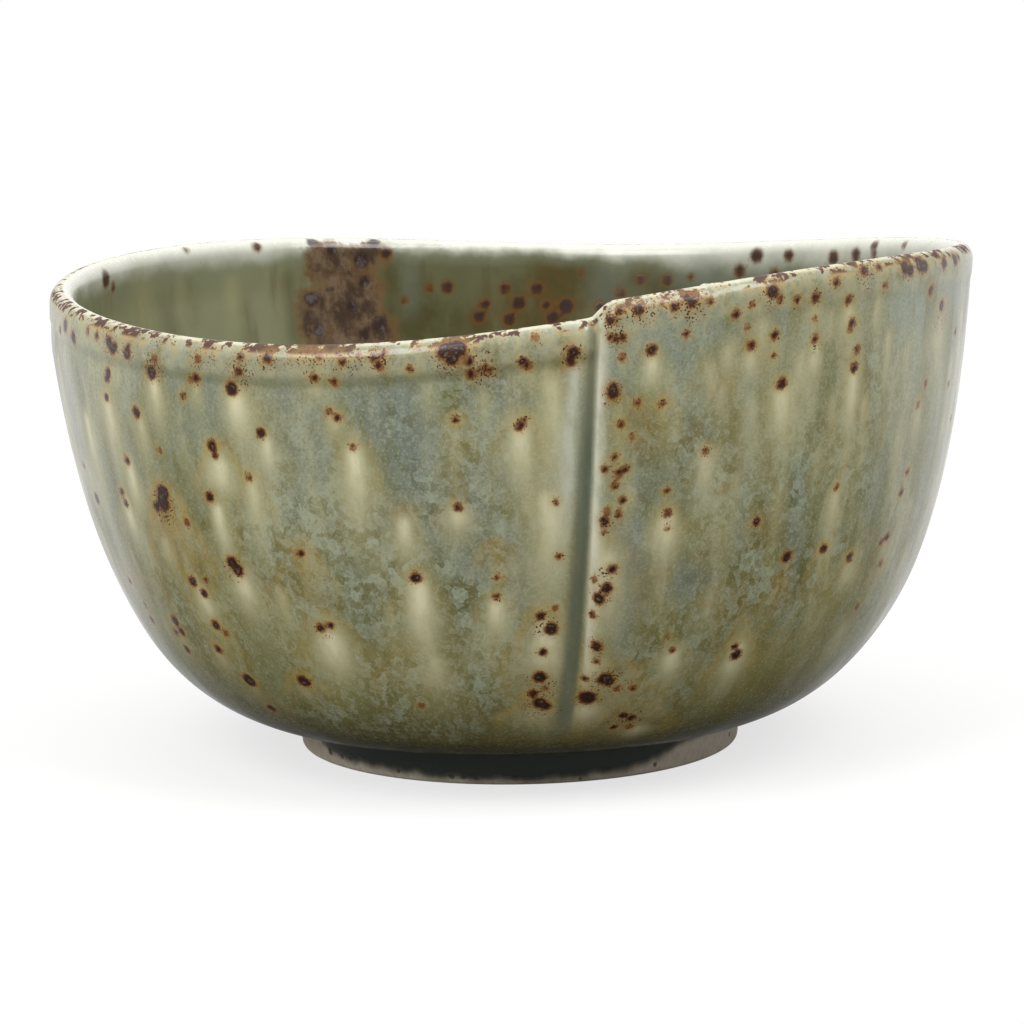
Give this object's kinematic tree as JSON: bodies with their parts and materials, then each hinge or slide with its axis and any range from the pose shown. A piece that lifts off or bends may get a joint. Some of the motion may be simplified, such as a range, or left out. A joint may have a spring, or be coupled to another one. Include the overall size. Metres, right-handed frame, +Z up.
{
  "type": "lapped ceramic bowl",
  "caption": "Small deep glazed stoneware bowl with a wavy rim, its wall wrapped round and lapped at the front, standing on a low foot ring.",
  "frame": {"origin": "on the table under the middle of the bowl's outline", "axes": "+Z up out of the bowl's mouth, -Y towards the front, where the lap shows, +X to the right of someone who faces the front"},
  "size_m": [0.1287, 0.1285, 0.0718],
  "materials": {
    "sage_glaze": "glossy sage green glaze with iron spots and pale running streaks",
    "dark_glaze": "glossy glaze, darker and more olive where it gathered low down",
    "bare_clay": "fired clay, bare at the bottom edge, under a thin dark band of glaze"
  },
  "bodies": {
    "root": {"lapped_wall": "sage_glaze", "floor_slab": "dark_glaze", "foot_ring": "bare_clay"}
  },
  "joints": []
}
